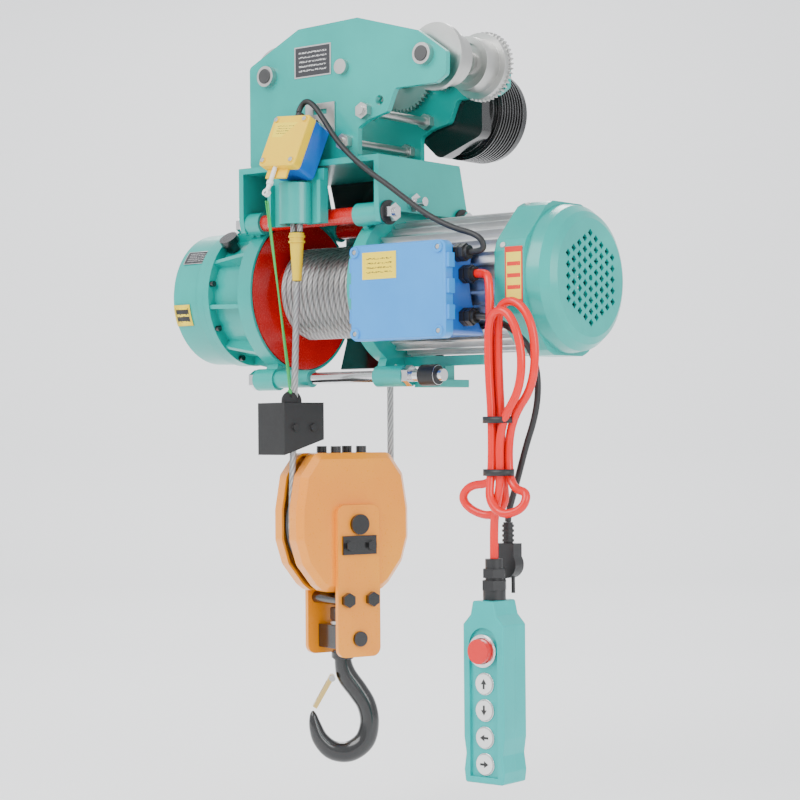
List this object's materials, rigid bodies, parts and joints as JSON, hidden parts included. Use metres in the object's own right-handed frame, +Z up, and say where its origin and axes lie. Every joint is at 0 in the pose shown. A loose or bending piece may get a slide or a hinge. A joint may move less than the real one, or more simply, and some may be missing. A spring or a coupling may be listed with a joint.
{
  "type": "electric_wire_rope_hoist",
  "caption": "Electric wire rope hoist with geared beam trolley, hook block, limit switch and hand pendant on a coiled-up cable",
  "frame": {"origin": "midway between the four wheels at wheel-tread height, on the beam web plane", "axes": "+X toward the motor fan, +Y toward the trolley drive, +Z up"},
  "size_m": [0.656, 0.3292, 0.984],
  "materials": {
    "teal_paint": "satin",
    "red_paint": "gloss",
    "orange_paint": "gloss",
    "blue_box": "gloss",
    "yellow_paint": "satin",
    "black_steel": "gloss",
    "steel": "satin",
    "chrome_rod": "polished",
    "aluminium_fin": "satin",
    "brass_part": "satin",
    "black_rubber": "matte",
    "red_cable": "gloss",
    "teal_plastic": "gloss",
    "white_plastic": "gloss",
    "red_plastic": "gloss",
    "yellow_plastic": "matte",
    "green_cord": "matte"
  },
  "bodies": {
    "frame": {"trolley_plate_front": "teal_paint", "trolley_plate_rear": "teal_paint", "trolley_pins": "steel", "trolley_motor": "black_steel", "hanger_bracket": "teal_paint", "rope_anchor": "teal_paint", "rear_guard": "black_steel", "end_frame_left": "teal_paint", "end_frame_right": "teal_paint", "tie_tubes": "red_paint", "tie_rods": "chrome_rod", "gearbox_cover": "teal_paint", "case_screws": "black_steel", "motor_housing": "aluminium_fin", "fan_cover": "teal_paint", "control_box_base": "blue_box", "control_box_lid": "blue_box", "cable_glands": "black_rubber", "limit_switch_case": "blue_box", "limit_switch_cover": "yellow_paint", "limit_bracket": "steel", "rope_sleeve": "yellow_plastic", "limit_switch_cable": "black_rubber", "pendant_cable": "red_cable", "pendant_cable_hank": "red_cable", "power_cord": "black_rubber", "power_plug": "black_rubber", "pendant_case_front": "teal_plastic", "pendant_case_rear": "teal_plastic", "rope_fall_anchor": "steel", "rope_fall_drum": "steel"},
    "drum": {"drum": "red_paint", "drum_rope": "steel"},
    "countershaft": {"countershaft_gears": "steel"},
    "rotor": {"rotor_shaft": "steel", "cooling_fan": "black_rubber"},
    "wheel_fl": {"wheel_front_left": "steel"},
    "wheel_fr": {"wheel_front_right": "steel"},
    "wheel_rl": {"wheel_rear_left": "steel"},
    "wheel_rr": {"wheel_rear_right": "steel"},
    "centre_gear": {"trolley_drive_gear": "steel"},
    "idler_l": {"drive_idler_left": "steel"},
    "idler_r": {"drive_idler_right": "steel"},
    "block": {"block_shell_front": "orange_paint", "block_shell_rear": "orange_paint", "block_side_plates": "orange_paint", "block_bolts": "black_steel", "rope_bight": "steel"},
    "sheave": {"sheave": "black_steel"},
    "crosshead": {"crosshead": "black_steel"},
    "hook": {"hook": "black_steel"},
    "latch": {"hook_latch": "brass_part"},
    "weight": {"limit_weight": "black_steel", "weight_cord": "green_cord"},
    "plunger": {"limit_plunger": "white_plastic"},
    "estop": {"estop_button": "red_plastic"},
    "b_up": {"button_up": "white_plastic"},
    "b_down": {"button_down": "white_plastic"},
    "b_left": {"button_left": "white_plastic"},
    "b_right": {"button_right": "white_plastic"}
  },
  "joints": [
    {"name": "drum_spin", "type": "hinge", "parent": "frame", "child": "drum", "pos_m": [-0.143, 0.008, -0.256], "axis": [1, 0, 0], "range_deg": [-889, 0]},
    {"name": "countershaft_spin", "type": "hinge", "parent": "frame", "child": "countershaft", "pos_m": [-0.273, 0.008, -0.211], "axis": [1, 0, 0], "range_deg": [0, 3557]},
    {"name": "rotor_spin", "type": "hinge", "parent": "frame", "child": "rotor", "pos_m": [-0.143, 0.008, -0.256], "axis": [1, 0, 0], "range_deg": [-17781, 0]},
    {"name": "trolley_drive", "type": "hinge", "parent": "frame", "child": "centre_gear", "pos_m": [0, 0.008, 0.035], "axis": [0, 1, 0], "continuous": true},
    {"name": "wheel_rear_left_spin", "type": "hinge", "parent": "frame", "child": "wheel_rl", "pos_m": [-0.133, 0.008, 0.035], "axis": [0, 1, 0], "continuous": true},
    {"name": "wheel_rear_right_spin", "type": "hinge", "parent": "frame", "child": "wheel_rr", "pos_m": [0.133, 0.008, 0.035], "axis": [0, 1, 0], "continuous": true},
    {"name": "idler_left_spin", "type": "hinge", "parent": "frame", "child": "idler_l", "pos_m": [-0.067, 0.008, 0.035], "axis": [0, 1, 0], "continuous": true},
    {"name": "idler_right_spin", "type": "hinge", "parent": "frame", "child": "idler_r", "pos_m": [0.067, 0.008, 0.035], "axis": [0, 1, 0], "continuous": true},
    {"name": "wheel_front_left_spin", "type": "hinge", "parent": "frame", "child": "wheel_fl", "pos_m": [-0.133, 0.008, 0.035], "axis": [0, 1, 0], "continuous": true},
    {"name": "wheel_front_right_spin", "type": "hinge", "parent": "frame", "child": "wheel_fr", "pos_m": [0.133, 0.008, 0.035], "axis": [0, 1, 0], "continuous": true},
    {"name": "block_lift", "type": "slide", "parent": "frame", "child": "block", "axis": [0, 0, 1], "range_m": [-0.45, 0], "deforming": ["rope_fall_anchor", "rope_fall_drum"]},
    {"name": "sheave_spin", "type": "hinge", "parent": "block", "child": "sheave", "pos_m": [-0.055, -0.018, -0.568], "axis": [0.9511, -0.309, 0], "range_deg": [-327.26, 0]},
    {"name": "hook_tilt", "type": "hinge", "parent": "block", "child": "crosshead", "pos_m": [-0.055, -0.018, -0.72], "axis": [0.9511, -0.309, 0], "range_deg": [-12, 12]},
    {"name": "hook_swivel", "type": "hinge", "parent": "crosshead", "child": "hook", "pos_m": [-0.055, -0.018, -0.72], "axis": [0, 0, 1], "continuous": true},
    {"name": "latch_open", "type": "hinge", "parent": "hook", "child": "latch", "pos_m": [-0.06615, -0.02804, -0.775], "axis": [0.6691, -0.7431, 0], "range_deg": [0, 28], "stiffness_Nm_per_rad": 0.02},
    {"name": "weight_raise", "type": "slide", "parent": "frame", "child": "weight", "axis": [0, 0, 1], "range_m": [0, 0.01], "deforming": ["weight_cord"]},
    {"name": "plunger_retract", "type": "slide", "parent": "frame", "child": "plunger", "axis": [0.0698, 0.3898, 0.9183], "range_m": [0, 0.004]},
    {"name": "estop_press", "type": "slide", "parent": "frame", "child": "estop", "axis": [0, 1, 0], "range_m": [0, 0.003], "stiffness_N_per_m": 300},
    {"name": "press_up", "type": "slide", "parent": "frame", "child": "b_up", "axis": [0, 1, 0], "range_m": [0, 0.003], "stiffness_N_per_m": 300},
    {"name": "press_down", "type": "slide", "parent": "frame", "child": "b_down", "axis": [0, 1, 0], "range_m": [0, 0.003], "stiffness_N_per_m": 300},
    {"name": "press_left", "type": "slide", "parent": "frame", "child": "b_left", "axis": [0, 1, 0], "range_m": [0, 0.003], "stiffness_N_per_m": 300},
    {"name": "press_right", "type": "slide", "parent": "frame", "child": "b_right", "axis": [0, 1, 0], "range_m": [0, 0.003], "stiffness_N_per_m": 300}
  ],
  "couplings": [
    {"joint": "plunger_retract", "follows": "weight_raise", "ratio": 0.4},
    {"joint": "countershaft_spin", "follows": "drum_spin", "ratio": -4},
    {"joint": "rotor_spin", "follows": "drum_spin", "ratio": 20},
    {"joint": "block_lift", "follows": "drum_spin", "m_per_rad": 0.029},
    {"joint": "sheave_spin", "follows": "drum_spin", "ratio": 0.367},
    {"joint": "wheel_rear_left_spin", "follows": "trolley_drive", "ratio": 1.0227},
    {"joint": "wheel_rear_right_spin", "follows": "trolley_drive", "ratio": 1.0227},
    {"joint": "idler_left_spin", "follows": "trolley_drive", "ratio": -2.0455},
    {"joint": "idler_right_spin", "follows": "trolley_drive", "ratio": -2.0455}
  ]
}
